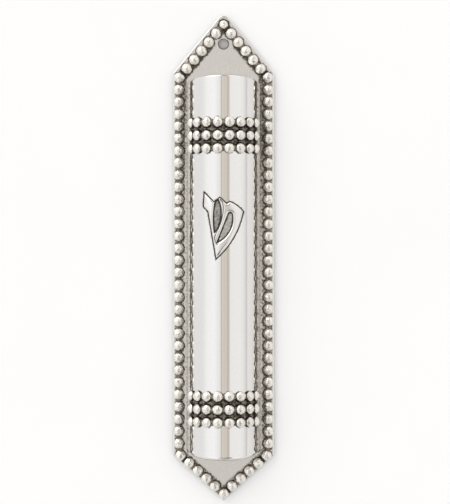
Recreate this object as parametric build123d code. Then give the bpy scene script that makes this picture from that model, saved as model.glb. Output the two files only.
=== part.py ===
from build123d import *

import math
import os

# Mezuzah case, in millimetres. X runs across the case, Z up along it and -Y out of its front.
# The origin is the centre of the nail hole, on the rear face of the back plate.

# ---- driving dimensions ----
PLATE_LENGTH = 160.0
PLATE_WIDTH = 33.3
PLATE_THICKNESS = 0.8
# from the shoulders to where the slanted edges would meet
UPPER_POINT_HEIGHT = 20.15
LOWER_POINT_HEIGHT = 14.95
TOP_CORNER_RADIUS = 2.2
OTHER_CORNER_RADIUS = 0.5
EDGE_ROUNDING = 0.3

NAIL_HOLE_RADIUS = 1.55
NAIL_HOLE_DROP = 9.4

SHELL_RADIUS = 11.05
SHEET_THICKNESS = 0.5
SHELL_BASE_TOP = -12.55
SHELL_BASE_BOTTOM = -134.75
END_LEAN_DEGREES = 8.7
FLANGE_WIDTH = 0.95
FLANGE_CORNER_CLIP = 0.6

WINDOW_HALF_WIDTH = 9.5
WINDOW_TOP = -13.6
WINDOW_BOTTOM = -133.7

BORDER_BEAD_RADIUS = 1.8
BORDER_NECK_RADIUS = 0.95
SIDE_BEAD_COUNT = 32
UPPER_EDGE_BEAD_GAPS = 6
LOWER_EDGE_BEAD_GAPS = 5
# centres of the corner beads, as (x, z)
TOP_BEAD = (0.0, 6.3)
UPPER_CORNER_BEAD = (14.6, -11.1)
LOWER_CORNER_BEAD = (14.2, -135.7)
BOTTOM_BEAD = (0.0, -148.3)
SIDE_BEAD_LINE = 14.8

BAND_STRIP_THICKNESS = 0.2
BAND_STRIP_OVERHANG = 1.0
BAND_STRIP_CLEARANCE = 0.4
BAND_BEAD_RADIUS = 1.72
BAND_NECK_RADIUS = 0.8
BAND_BEADS_PER_ROW = 8
BAND_BEAD_STEP_DEGREES = 19.1
BAND_ROW_PITCH = 4.27
UPPER_BAND_MIDDLE = -30.55
LOWER_BAND_MIDDLE = -119.9
ROWS_PER_BAND = 3

EMBLEM_CENTRE_Z = -59.85
EMBLEM_THICKNESS = 0.9
EMBLEM_FLOOR = 0.3

REAR_DEPTH = 1.2
COVER_THICKNESS = 0.55
COVER_GAP = 0.1
COVER_END_GAP = 0.05
COVER_HALF_WIDTH = 11.1
COVER_TOP = -12.95
RAIL_HALF_SPAN = 12.4
RAIL_WEB_WIDTH = 1.2
RAIL_LIP_OVERLAP = 0.9
RAIL_TOP = -12.3
STOP_TOP = -135.0
STOP_HEIGHT = 1.4
PULL_LIP_WIDTH = 10.0
PULL_LIP_HEIGHT = 0.6

SLEEVE_RADIUS = 5.1
SLEEVE_WALL = 0.2
SLEEVE_LENGTH = 119.0
SLEEVE_BOTTOM = -134.15
SLEEVE_CLEARANCE = 0.05
SCROLL_LENGTH = 118.0
SCROLL_INNER_RADIUS = 1.5
SCROLL_TURNS = 6
SCROLL_SHEET = 0.35

# ---- dimensions that follow ----
FRONT_FACE = -PLATE_THICKNESS
HALF_WIDTH = PLATE_WIDTH / 2


def rounded_off(point_height, radius):
    """How far rounding a point of the plate by radius brings it in."""
    return radius * (math.hypot(HALF_WIDTH, point_height) / HALF_WIDTH - 1)


# where the plate's slanted edges would meet if its two points weren't rounded
TOP_POINT = NAIL_HOLE_DROP + rounded_off(UPPER_POINT_HEIGHT, TOP_CORNER_RADIUS)
BOTTOM_POINT = NAIL_HOLE_DROP - PLATE_LENGTH - rounded_off(LOWER_POINT_HEIGHT, OTHER_CORNER_RADIUS)
UPPER_SHOULDER = TOP_POINT - UPPER_POINT_HEIGHT
LOWER_SHOULDER = BOTTOM_POINT + LOWER_POINT_HEIGHT
INNER_RADIUS = SHELL_RADIUS - SHEET_THICKNESS
STRIP_RADIUS = SHELL_RADIUS + BAND_STRIP_THICKNESS
EMBLEM_RADIUS = SHELL_RADIUS + EMBLEM_THICKNESS
END_SLOPE = math.tan(math.radians(END_LEAN_DEGREES))
SHELL_MIDDLE = (SHELL_BASE_TOP + SHELL_BASE_BOTTOM) / 2
STOP_BOTTOM = STOP_TOP - STOP_HEIGHT
LONG = 2 * PLATE_LENGTH
WIDE = 2 * PLATE_WIDTH


def drawing_plane(y):
    """A plane facing forwards at depth y, whose drawings have x across and z up."""
    return Plane(origin=(0, y, 0), x_dir=(1, 0, 0), z_dir=(0, -1, 0))


def block(x_range, y_range, z_range):
    """A box between three pairs of limits."""
    sizes = [high - low for low, high in (x_range, y_range, z_range)]
    corner = Pos(x_range[0], y_range[0], z_range[0])
    return corner * Box(*sizes, align=(Align.MIN, Align.MIN, Align.MIN))


def case_cylinder(radius):
    """The front half of a cylinder about the axis of the shell, far longer than the case."""
    full = Pos(0, FRONT_FACE, SHELL_MIDDLE) * Cylinder(radius, LONG)
    return full & block((-WIDE, WIDE), (-WIDE, FRONT_FACE), (-LONG, LONG))


def leaning_block(inset):
    """A block as tall as the case whose ends lean outwards, each moved inwards by inset."""
    depth = 2 * SHELL_RADIUS
    rise = depth * END_SLOPE
    shift = inset / math.cos(math.radians(END_LEAN_DEGREES))
    top = SHELL_BASE_TOP - shift
    bottom = SHELL_BASE_BOTTOM + shift
    outline = Polyline(
        (FRONT_FACE, top),
        (FRONT_FACE - depth, top + rise),
        (FRONT_FACE - depth, bottom - rise),
        (FRONT_FACE, bottom),
        close=True,
    )
    return extrude(Plane.YZ * make_face(outline), WIDE, both=True)


# ---- back plate ----


def plate_face():
    """The plate's outline, with its corners rounded."""
    corners = [
        (0, TOP_POINT, TOP_CORNER_RADIUS),
        (HALF_WIDTH, UPPER_SHOULDER, OTHER_CORNER_RADIUS),
        (HALF_WIDTH, LOWER_SHOULDER, OTHER_CORNER_RADIUS),
        (0, BOTTOM_POINT, OTHER_CORNER_RADIUS),
        (-HALF_WIDTH, LOWER_SHOULDER, OTHER_CORNER_RADIUS),
        (-HALF_WIDTH, UPPER_SHOULDER, OTHER_CORNER_RADIUS),
    ]
    points = [(x, z) for x, z, radius in corners]
    radii = [radius for x, z, radius in corners]
    return make_face(FilletPolyline(*points, radius=radii, close=True))


def back_plate():
    """Hexagonal plate with the nail hole, and the window that the scroll goes in through."""
    plate = extrude(drawing_plane(0) * plate_face(), PLATE_THICKNESS)
    front_edges = plate.faces().sort_by(Axis.Y)[0].edges()
    plate = fillet(front_edges, EDGE_ROUNDING)
    hole = Rot(90, 0, 0) * Cylinder(NAIL_HOLE_RADIUS, 4 * PLATE_THICKNESS)
    window = block(
        (-WINDOW_HALF_WIDTH, WINDOW_HALF_WIDTH),
        (-WIDE, WIDE),
        (WINDOW_BOTTOM, WINDOW_TOP),
    )
    return plate - hole - window


# ---- case ----


def flange(side):
    """The narrow foot that the shell is soldered down by, on the side given as -1 or 1."""
    inner = side * INNER_RADIUS
    outer = side * (SHELL_RADIUS + FLANGE_WIDTH)
    clipped = outer - side * FLANGE_CORNER_CLIP
    outline = Polyline(
        (inner, SHELL_BASE_TOP),
        (clipped, SHELL_BASE_TOP),
        (outer, SHELL_BASE_TOP - FLANGE_CORNER_CLIP),
        (outer, SHELL_BASE_BOTTOM + FLANGE_CORNER_CLIP),
        (clipped, SHELL_BASE_BOTTOM),
        (inner, SHELL_BASE_BOTTOM),
        close=True,
    )
    return extrude(drawing_plane(FRONT_FACE) * make_face(outline), SHEET_THICKNESS)


def case_shell():
    """Half-round sheet with leaning ends and a flange along each side."""
    arch = case_cylinder(SHELL_RADIUS) & leaning_block(0)
    feet = [flange(-1), flange(1)]
    return (arch + feet) - case_cylinder(INNER_RADIUS)


def end_cap(top):
    """Half-moon sheet that closes one leaning end, flush with the shell's edge."""
    caps = (case_cylinder(INNER_RADIUS) & leaning_block(0)) - leaning_block(SHEET_THICKNESS)
    ordered = caps.solids().sort_by(Axis.Z)
    return ordered[-1] if top else ordered[0]


# ---- beaded border ----


def between(start, end, share):
    """The point a given share of the way from one (x, z) point to another."""
    return tuple(a + (b - a) * share for a, b in zip(start, end))


def neck(start, end, radius):
    """A round bar between two points in space."""
    path = Line(start, end)
    direction = Vector(*end) - Vector(*start)
    section = Plane(origin=start, z_dir=direction) * Circle(radius)
    return extrude(section, path.length, direction.normalized())


def bead_wire(beads, first_end, last_end):
    """Half-round beads on the plate's front face, joined by necks and with a stub at each end."""
    stops = [first_end, *beads, last_end]
    places = [(x, FRONT_FACE, z) for x, z in stops]
    balls = [Pos(*place) * Sphere(BORDER_BEAD_RADIUS) for place in places[1:-1]]
    necks = [neck(a, b, BORDER_NECK_RADIUS) for a, b in zip(places, places[1:])]
    wire = balls[0] + balls[1:] + necks
    return wire & block((-WIDE, WIDE), (-WIDE, FRONT_FACE), (-LONG, LONG))


def mirrored(points, side):
    return [(side * x, z) for x, z in points]


def side_beads():
    """Bead centres of the right side from the upper corner to the lower one."""
    last = SIDE_BEAD_COUNT - 1
    top = UPPER_CORNER_BEAD[1]
    pitch = (top - LOWER_CORNER_BEAD[1]) / last
    straight = [(SIDE_BEAD_LINE, top - pitch * number) for number in range(1, last)]
    return [UPPER_CORNER_BEAD, *straight, LOWER_CORNER_BEAD]


def edge_beads(corner, point, gaps, with_point):
    """Bead centres of a slanted edge, from beside its corner bead to the bead at the plate's point."""
    last = gaps if with_point else gaps - 1
    return [between(corner, point, number / gaps) for number in range(1, last + 1)]


def border_wires():
    """The six wires of the border; the left wires carry the beads at the two points."""
    upper_joint = between(UPPER_CORNER_BEAD, TOP_BEAD, 0.5 / UPPER_EDGE_BEAD_GAPS)
    lower_joint = between(LOWER_CORNER_BEAD, BOTTOM_BEAD, 0.5 / LOWER_EDGE_BEAD_GAPS)
    # Where the right wire of a slanted pair stops short of the bead at the point.
    top_joint = between(UPPER_CORNER_BEAD, TOP_BEAD, 1 - 0.5 / UPPER_EDGE_BEAD_GAPS)
    bottom_joint = between(LOWER_CORNER_BEAD, BOTTOM_BEAD, 1 - 0.5 / LOWER_EDGE_BEAD_GAPS)
    wires = {}
    for name, side in (("left", -1), ("right", 1)):
        left = side < 0
        upper = edge_beads(UPPER_CORNER_BEAD, TOP_BEAD, UPPER_EDGE_BEAD_GAPS, left)
        lower = edge_beads(LOWER_CORNER_BEAD, BOTTOM_BEAD, LOWER_EDGE_BEAD_GAPS, left)
        starts = mirrored([upper_joint, lower_joint], side)
        # A left wire ends past the point, where the right wire begins.
        ends = [top_joint, bottom_joint]
        wires[f"{name}_border_beads"] = bead_wire(mirrored(side_beads(), side), *starts)
        wires[f"upper_{name}_border_beads"] = bead_wire(mirrored(upper, side), starts[0], ends[0])
        wires[f"lower_{name}_border_beads"] = bead_wire(mirrored(lower, side), starts[1], ends[1])
    return wires


# ---- beaded bands over the shell ----


def band_strip(middle):
    """Thin sheet that wraps the shell behind the three bead rows of a band."""
    half = BAND_ROW_PITCH + BAND_STRIP_OVERHANG
    foot = FRONT_FACE - SHEET_THICKNESS - BAND_STRIP_CLEARANCE
    sheet = case_cylinder(STRIP_RADIUS) - case_cylinder(SHELL_RADIUS)
    return sheet & block((-WIDE, WIDE), (-WIDE, foot), (middle - half, middle + half))


def band_bead_row(z):
    """A row of half-round beads that follows the curve of the strip."""
    middle = (BAND_BEADS_PER_ROW - 1) / 2
    places = []
    for number in range(BAND_BEADS_PER_ROW):
        angle = math.radians((number - middle) * BAND_BEAD_STEP_DEGREES)
        x = STRIP_RADIUS * math.sin(angle)
        y = FRONT_FACE - STRIP_RADIUS * math.cos(angle)
        places.append((x, y, z))
    balls = [Pos(*place) * Sphere(BAND_BEAD_RADIUS) for place in places]
    necks = [neck(a, b, BAND_NECK_RADIUS) for a, b in zip(places, places[1:])]
    return (balls[0] + balls[1:] + necks) - case_cylinder(STRIP_RADIUS)


def band(name, middle):
    """A strip and its bead rows, numbered from the top."""
    parts = {f"{name}_band_strip": band_strip(middle)}
    for row in range(ROWS_PER_BAND):
        z = middle + BAND_ROW_PITCH * ((ROWS_PER_BAND - 1) / 2 - row)
        parts[f"{name}_band_bead_row_{row + 1}"] = band_bead_row(z)
    return parts


# ---- raised emblem: the letter shin, three arms that meet in a pointed foot ----


def emblem_face():
    outline = [
        Line((-2.6, -11.4), (-5.3, 4.4)),
        Line((-5.3, 4.4), (-6.8, 6.0)),
        Line((-6.8, 6.0), (-6.5, 11.3)),
        Line((-6.5, 11.3), (-3.1, 7.9)),
        Line((-3.1, 7.9), (-1.2, 9.4)),
        Line((-1.2, 9.4), (1.1, 7.3)),
        Line((1.1, 7.3), (2.0, 8.0)),
        ThreePointArc((2.0, 8.0), (4.5, 6.7), (6.7, 4.6)),
        ThreePointArc((6.7, 4.6), (3.7, -3.8), (-2.6, -11.4)),
    ]
    return make_face(outline)


def left_counter():
    """The crescent between the left and middle arms."""
    outline = [
        ThreePointArc((-2.9, -2.4), (-0.8, 3.0), (-1.7, 8.3)),
        Line((-1.7, 8.3), (-2.7, 7.6)),
        ThreePointArc((-2.7, 7.6), (-3.25, 2.6), (-2.9, -2.4)),
    ]
    return make_face(outline)


def right_counter():
    """The leaf between the middle and right arms."""
    outline = [
        ThreePointArc((-2.1, -5.6), (0.2, 0.2), (1.7, 4.0)),
        ThreePointArc((1.7, 4.0), (2.4, 4.1), (2.9, 3.4)),
        ThreePointArc((2.9, 3.4), (1.7, -2.3), (-2.1, -5.6)),
    ]
    return make_face(outline)


def on_shell(face):
    """A drawing about the emblem's centre, run forwards through the whole case."""
    return extrude(drawing_plane(FRONT_FACE) * (Pos(0, EMBLEM_CENTRE_Z) * face), WIDE)


def shin_emblem():
    body = on_shell(emblem_face()) & case_cylinder(EMBLEM_RADIUS)
    floor = case_cylinder(SHELL_RADIUS + EMBLEM_FLOOR)
    recesses = [on_shell(left_counter()) - floor, on_shell(right_counter()) - floor]
    return (body - case_cylinder(SHELL_RADIUS)) - recesses


# ---- rear: guide rails, stop and sliding cover ----


def guide_rail(side):
    """L-shaped rail: a web on the plate, and a lip that laps over the cover's edge."""
    outer = side * RAIL_HALF_SPAN
    web = side * (RAIL_HALF_SPAN - RAIL_WEB_WIDTH)
    lip = side * (COVER_HALF_WIDTH - RAIL_LIP_OVERLAP)
    under = COVER_THICKNESS + 2 * COVER_GAP
    outline = Polyline(
        (outer, 0),
        (outer, REAR_DEPTH),
        (lip, REAR_DEPTH),
        (lip, under),
        (web, under),
        (web, 0),
        close=True,
    )
    section = Plane.XY.offset(STOP_TOP) * make_face(outline)
    return extrude(section, RAIL_TOP - STOP_TOP, Vector(0, 0, 1))


def cover_stop():
    """Bar that the cover rests on when it is shut."""
    span = (-RAIL_HALF_SPAN, RAIL_HALF_SPAN)
    return block(span, (0, REAR_DEPTH), (STOP_BOTTOM, STOP_TOP))


def rear_cover():
    """Sliding sheet with a bent lip at its top to push it up by."""
    span = (-COVER_HALF_WIDTH, COVER_HALF_WIDTH)
    sheet = block(span, (COVER_GAP, COVER_GAP + COVER_THICKNESS), (STOP_TOP + COVER_END_GAP, COVER_TOP))
    pull_span = (-PULL_LIP_WIDTH / 2, PULL_LIP_WIDTH / 2)
    pull = block(pull_span, (COVER_GAP, REAR_DEPTH), (COVER_TOP - PULL_LIP_HEIGHT, COVER_TOP))
    return sheet + pull


# ---- inside: the scroll in its clear sleeve ----


def sleeve_axis(bottom):
    """The sleeve lies against the crest of the shell, clear of the cover."""
    return Pos(0, FRONT_FACE - (INNER_RADIUS - SLEEVE_RADIUS - SLEEVE_CLEARANCE), bottom)


def scroll_sleeve():
    outline = Circle(SLEEVE_RADIUS) - Circle(SLEEVE_RADIUS - SLEEVE_WALL)
    return extrude(sleeve_axis(SLEEVE_BOTTOM) * outline, SLEEVE_LENGTH)


def parchment_scroll():
    """A sheet rolled into a spiral whose outside fits the sleeve."""
    outer_radius = SLEEVE_RADIUS - SLEEVE_WALL - SLEEVE_CLEARANCE
    steps_per_turn = 12
    steps = SCROLL_TURNS * steps_per_turn
    growth = (outer_radius - SCROLL_SHEET - SCROLL_INNER_RADIUS) / steps

    def spiral(offset):
        points = []
        for step in range(steps + 1):
            angle = 2 * math.pi * step / steps_per_turn
            radius = SCROLL_INNER_RADIUS + offset + growth * step
            points.append((radius * math.cos(angle), radius * math.sin(angle)))
        return points

    inside = spiral(0)
    outside = spiral(SCROLL_SHEET)
    outline = [
        Spline(*inside),
        Line(inside[-1], outside[-1]),
        Spline(*outside),
        Line(outside[0], inside[0]),
    ]
    lift = (SLEEVE_LENGTH - SCROLL_LENGTH) / 2
    return extrude(sleeve_axis(SLEEVE_BOTTOM + lift) * make_face(outline), SCROLL_LENGTH)


# ---- all sub-parts ----


def all_parts():
    parts = {
        "back_plate": back_plate(),
        "case_shell": case_shell(),
        "top_end_cap": end_cap(top=True),
        "bottom_end_cap": end_cap(top=False),
    }
    parts.update(border_wires())
    parts.update(band("upper", UPPER_BAND_MIDDLE))
    parts.update(band("lower", LOWER_BAND_MIDDLE))
    parts["shin_emblem"] = shin_emblem()
    parts["left_guide_rail"] = guide_rail(-1)
    parts["right_guide_rail"] = guide_rail(1)
    parts["cover_stop"] = cover_stop()
    parts["rear_cover"] = rear_cover()
    parts["parchment_scroll"] = parchment_scroll()
    parts["scroll_sleeve"] = scroll_sleeve()
    return parts


os.makedirs("parts", exist_ok=True)
for node, shape in all_parts().items():
    export_step(shape, f"parts/{node}.step")
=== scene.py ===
import cmath
import math
import random

import bmesh
import bpy
import numpy as np
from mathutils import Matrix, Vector, noise
from mathutils.geometry import delaunay_2d_cdt


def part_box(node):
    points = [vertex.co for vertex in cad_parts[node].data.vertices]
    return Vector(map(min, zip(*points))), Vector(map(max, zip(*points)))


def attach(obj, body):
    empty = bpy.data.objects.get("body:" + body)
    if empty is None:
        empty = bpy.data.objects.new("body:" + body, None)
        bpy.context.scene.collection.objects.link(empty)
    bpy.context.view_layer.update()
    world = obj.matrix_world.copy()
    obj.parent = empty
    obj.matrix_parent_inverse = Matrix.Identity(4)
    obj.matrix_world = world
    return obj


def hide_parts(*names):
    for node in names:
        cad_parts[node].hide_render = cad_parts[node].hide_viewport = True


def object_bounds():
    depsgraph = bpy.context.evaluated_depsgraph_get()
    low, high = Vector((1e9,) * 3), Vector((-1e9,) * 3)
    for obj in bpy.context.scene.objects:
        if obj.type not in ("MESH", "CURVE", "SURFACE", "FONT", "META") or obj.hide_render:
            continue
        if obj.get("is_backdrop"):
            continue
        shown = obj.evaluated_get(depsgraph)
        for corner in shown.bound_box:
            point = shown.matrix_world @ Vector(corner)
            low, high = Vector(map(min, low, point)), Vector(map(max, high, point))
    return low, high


# A mezuzah case in polished and oxidised silver. Meshes are made in millimetres, in the CAD frame:
# X across, Z up along the case and -Y out of its front. "Depth" is how far a point stands in front
# of the back plate's front face.

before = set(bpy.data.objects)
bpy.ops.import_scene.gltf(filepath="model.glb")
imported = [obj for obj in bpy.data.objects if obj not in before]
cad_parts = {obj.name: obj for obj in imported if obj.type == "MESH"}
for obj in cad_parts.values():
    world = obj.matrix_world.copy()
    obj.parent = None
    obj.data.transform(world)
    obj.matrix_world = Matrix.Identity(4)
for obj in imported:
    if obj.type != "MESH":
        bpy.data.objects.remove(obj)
cad_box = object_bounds()

MM = 0.001


def limits(node):
    """Lowest and highest corner of a CAD node, in millimetres."""
    low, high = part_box(node)
    return Vector(low) / MM, Vector(high) / MM


# ---- sizes taken from the frame ----
PLATE_LOW, PLATE_HIGH = limits("back_plate")
SHELL_LOW, SHELL_HIGH = limits("case_shell")
EMBLEM_CENTRE = sum(corner.z for corner in limits("shin_emblem")) / 2
FRONT = PLATE_LOW.y
REAR = limits("right_guide_rail")[1].y
HALF_WIDTH = PLATE_HIGH.x
SHELL_RADIUS = FRONT - SHELL_LOW.y
FLANGE_EDGE = SHELL_HIGH.x

# ---- other sizes of the CAD model ----
UPPER_POINT_HEIGHT = 20.15
LOWER_POINT_HEIGHT = 14.95
TOP_CORNER_RADIUS = 2.2
OTHER_CORNER_RADIUS = 0.5
NAIL_HOLE_RADIUS = 1.55
WINDOW_HALF_WIDTH = 9.5
WINDOW_TOP = -13.6
WINDOW_BOTTOM = -133.7

SHEET_THICKNESS = 0.5
SHELL_BASE_TOP = -12.55
SHELL_BASE_BOTTOM = -134.75
FLANGE_CORNER_CLIP = 0.6

# a bead wire: its radius, how much of it a bead takes up along it, how far up its beads the oxide goes
BORDER_BEAD = (1.8, 0.98, 0.4)
TOP_BEAD_SHARE = 0.85
SIDE_BEAD_COUNT = 32
UPPER_EDGE_BEAD_GAPS = 6
LOWER_EDGE_BEAD_GAPS = 5
TOP_BEAD = (0.0, 6.3)
UPPER_CORNER_BEAD = (14.6, -11.1)
LOWER_CORNER_BEAD = (14.2, -135.7)
BOTTOM_BEAD = (0.0, -148.3)
SIDE_BEAD_LINE = 14.8

STRIP_THICKNESS = 0.2
BAND_BEAD = (1.72, 1.0, 0.3)
BAND_BEADS_PER_ROW = 8
BAND_BEAD_STEP = math.radians(19.1)
ROWS_PER_BAND = 3

EMBLEM_FLOOR = 0.3

# ---- sizes of what the CAD model leaves out ----
EDGE_ROUNDING = 0.4
REAR_ROUNDING = 0.12
HOLE_BEVEL = 0.34
SOLDER_RADIUS = 0.35
FLANGE_EDGE_ROUNDING = 0.1
DRESSED_EDGE = 0.1
# the radius of the shell's rim at each end, and the angles of its rows
TOP_RIM_RADIUS = 0.5
BOTTOM_RIM_RADIUS = 0.95
RIM_TURNS = [math.radians(angle) for angle in (55, 42, 30, 20, 10, 0)]
# a bead in parts of its radius: its foot, its dome's radius and edge, its height and its top's
BEAD_FOOT = 0.97
DOME_RADIUS = 1.14
DOME_EDGE = 0.97
BEAD_HEIGHT = 0.98
BEAD_TOP = 0.96
# the same for how uneven it is: waves as (size, how many to a radius), what is worn off, what stands proud
BEAD_WAVES = [(0.03, 1.8), (0.02, 4.5)]
BEAD_LOSS = 0.02
MOST_PROUD = 0.01
# the most that a bead shrinks by, as a share, strays by, in millimetres, and turns by round the shell
BEAD_SHRINKAGE = 0.05
BEAD_DRIFT_ALONG = 0.07
BEAD_DRIFT_ACROSS = 0.03
BAND_BEAD_DRIFT = 0.003
# how deep a wire is bedded, and between two beads its radius, its height in radii and how it widens
BEAD_BEDDING = 0.12
NECK_RADIUS = 0.95
NECK_HEIGHT = 0.75
NECK_SPREAD = 0.35
# how much sharper the edges of the letter's counters are than its outer ones
COUNTER_EDGE = 0.14
CREASE_DEPTH = 0.2
CREASE_HALF_WIDTH = 0.28
LETTER_BEDDING = 0.05

# ---- how finely the meshes are divided ----
PLATE_STEP = 0.42
REAR_STEP = 3.0
WINDOW_STEP = 2.0
RIM_LEVELS = 6
HOLE_POINTS = 48
SHELL_ARC_POINTS = 160
SHELL_ROW_STEP = 0.4
SHELL_END_ROWS = 3
SOLDER_POINTS = 6
BEAD_SIDES = 36
BEAD_RINGS = 10
NECK_SIDES = 12
NECK_STATIONS = 7
STRIP_ARC_POINTS = 120
STRIP_ROWS = 40
LETTER_STEP = 0.16
LETTER_REAR_STEP = 1.0

# ---- oxide, with painted shade and reflection in places: tarnish runs from 0, bright, to 1, dark; distances are in millimetres ----
# how far it spreads from the border's line: outside it, inside it at the plate's points, and in the
# channels beside the shell, left and right; the right one reaches further, which is painted shade on
# the side away from the light
SPREAD_OUTSIDE = 2.1
SPREAD_AT_POINTS = 3.0
CHANNEL_SPREAD_WITH_RIGHT_SHADE = (2.4, 3.1)
SPREAD_WITH_AGE = 0.9
SPREAD_FADE = 1.2
TOP_POINT_TARNISH = 0.75
BOTTOM_POINT_TARNISH = 0.58
# how dark it is in a channel, new and aged, the least there is anywhere in one, and where it has aged
CHANNEL_TARNISH = (0.5, 0.62)
CHANNEL_STAIN = 0.27
AGE_HEIGHTS = (-80, -15)
# where a channel has ended and where it starts to, past the shell's ends, and the clean ring round the hole
CHANNEL_END = (1.5, -0.5)
HOLE_CLEARING = (2.2, 3.6)
# how far it reaches from a bead, and from the shell, left and right
BEAD_CONTACT = 0.4
BEAD_CONTACT_FADE = 0.35
SHELL_CONTACT = (0.5, 0.4)
SHELL_CONTACT_TARNISH = 0.5
REAR_TARNISH = 0.1
# on the flange from its foot to its top, and on the solder; the left side, towards the light, has a little
# less of it, so that the right side carries painted shade
FLANGE_TARNISH = (0.9, 0.5, 0.2)
SOLDER_TARNISH = 0.3
SOLDER_DARKENING = 0.06
LIT_LEFT_SHARE = 0.9
INSIDE_TARNISH = 0.5
# how high the shell's foot is darkened, partly by oxide and partly as a painted dark reflection of the
# beads' flanks and the channels, and how dark it is there, left and right
FOOT_DARKENING_HEIGHT = 3.2
FOOT_DARKENING_FADE = 0.5
FOOT_OXIDE_AND_REFLECTION = (0.64, 0.58)
# what the polishing left of it round the beads of the bands and round the letter
HALO_WIDTH = 0.5
HALO_STAIN = 0.5
# how much further up than it should a bead's oxide may end, and over how much height it fades
OXIDE_LINE_DRIFT = 0.06
OXIDE_LINE_FADE = 0.06
NECK_TARNISH = 0.5
STRIP_TARNISH = 0.52
STRIP_CONTACT = 0.5
COUNTER_TARNISH = (0.56, 0.44)
COUNTER_CONTACT = (0.28, 0.04)
CREASE_TARNISH = 0.9

# ---- colours ----
# the oxide's, also laid where shade is painted, in parts of how bright it is; it is dull seen edge on as
# well
OXIDE_TINT = (1.0, 0.81, 0.60)
OXIDE_EDGE = (0.35, 0.33, 0.31)
STAIN_TINT = (0.62, 0.56, 0.48)
WHITE = (1.0, 1.0, 1.0)

# ---- studio ----
BACKDROP_HALF_SIZE = 2000.0
BACKDROP_GAP = 0.05
BACKDROP_GLOW = 0.235
BACKDROP_REFLECTED_GLOW = 0.035
# the backdrop's glow is darkened by ambient occlusion within this reach towards the shade colour below:
# painted shadow round the case and in the nail hole
BACKDROP_SHADOW = 6.0
BACKDROP_REACH = 8.0
BACKDROP_SHADE = (0.06, 0.03, 0.0)
CAMERA_DISTANCE = 775.0
CAMERA_AIM = (0.48, -68.6)
VIEW_HEIGHT = 166.2
SENSOR = 36.0
# the tent's walls by direction: degrees from the camera's side to the right, brightness and any warmth
TENT_WALLS = [
    (-180, 0.90), (-138, 0.76), (-76, 0.80), (-58, 0.92), (-32, 0.95),
    (-13, 0.82), (-9, 0.72, 0.06), (-7, 0.43, 0.12), (-5, 0.70, 0.12), (3, 0.64, 0.17),
    (10, 0.68, 0.17), (13, 0.54, 0.20), (18, 0.57, 0.18), (23, 0.86, 0.03), (56, 0.88, 0.02),
    (72, 0.83, 0.02), (82, 0.70, 0.02), (89, 0.56, 0.02), (90, 0.86), (100, 0.86),
    (122, 0.72), (140, 0.62), (180, 0.90),
]
# how bright the tent is from straight down, 0, to straight up, 1
TENT_LEVELS = [(0.0, 0.65), (0.18, 1.0), (0.33, 1.1), (0.43, 1.0), (0.5, 1.0), (0.85, 1.15), (1.0, 1.1)]
# the dim slit above and below the camera: its colour, the degrees and the steepness it fades in over
SLIT_COLOUR = (0.20, 0.18, 0.16)
SLIT_TURN = (22, 11)
SLIT_LEVEL_GAP = (0.18, 0.32)
SLIT_TOP = (0.85, 0.65)
SLIT_BOTTOM = (-0.60, -0.42)
# the lamp behind the tent's upper left side and the dark tripod below the camera, to its right, with
# the degrees from their middle that they fade in over
LAMP_DIRECTION = (-0.5, -0.5, 0.707)
LAMP_SPREAD = (32, 18)
LAMP_GLOW = 0.9
TRIPOD_DIRECTION = (0.30, -0.87, -0.39)
TRIPOD_SPREAD = (16, 9)
TRIPOD_COLOUR = (0.03, 0.03, 0.03)
# what the camera itself sees past the backdrop
ROOM_COLOUR = (0.93, 0.93, 0.925)


def smooth_step(low, high, value):
    """0 at low, 1 at high and smooth in between; low may be above high."""
    share = min(max((value - low) / (high - low), 0.0), 1.0)
    return share * share * (3 - 2 * share)


def mix(first, second, share):
    """The value at a share of the way from the first to the second."""
    return first + (second - first) * share


def between(start, end, share):
    """The point at a share of the way from start to end."""
    return tuple(mix(a, b, share) for a, b in zip(start, end))


def mirrored(points):
    """The same (x, z) points on the other side of the case."""
    return [(-x, z) for x, z in points]


def scaled(colour, amount):
    """A colour made darker or brighter by an amount."""
    return tuple(part * amount for part in colour)


def grey(value, warmth=0.0):
    """A pale colour; warmth takes a little out of green and more out of blue."""
    return (value, value * (1 - 0.45 * warmth), value * (1 - warmth))


def in_scene(name, data):
    """A new object in the scene."""
    made = bpy.data.objects.new(name, data)
    bpy.context.scene.collection.objects.link(made)
    return made


# ---- meshes ----


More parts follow.
